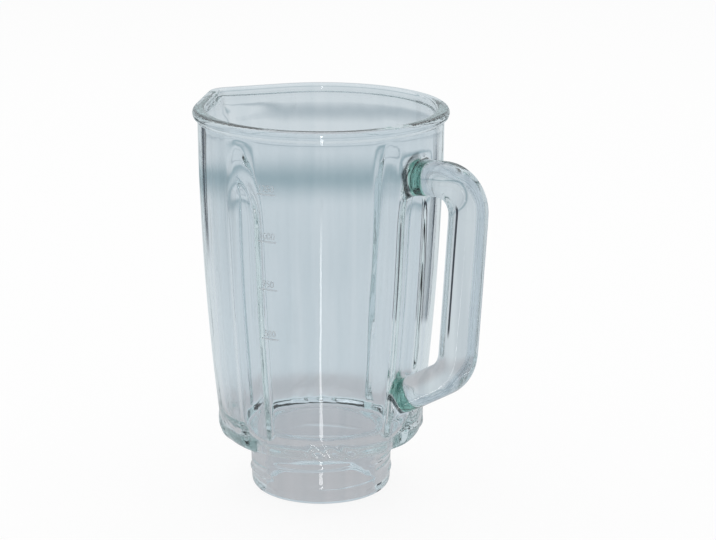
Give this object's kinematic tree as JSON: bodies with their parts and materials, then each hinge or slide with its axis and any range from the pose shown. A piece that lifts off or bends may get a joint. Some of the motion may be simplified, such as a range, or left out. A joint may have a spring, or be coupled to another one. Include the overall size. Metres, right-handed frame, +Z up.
{
  "type": "blender jar",
  "caption": "Pressed clear glass blender jar: a fluted barrel body with a beaded rim, a pouring spout, a solid loop handle and a hollow neck that takes the blade unit.",
  "frame": {"origin": "centre of the foot ring under the neck, on the jar's axis and in the plane it stands on", "axes": "+Z up along the jar's axis, +X towards the handle, -X towards the spout, +Y to the left of someone holding the handle"},
  "size_m": [0.1759, 0.13, 0.202],
  "materials": {
    "clear_glass": "smooth fire-polished soda-lime glass, faintly green where it is thick"
  },
  "bodies": {
    "root": {"glass_jar": "clear_glass"}
  },
  "joints": []
}
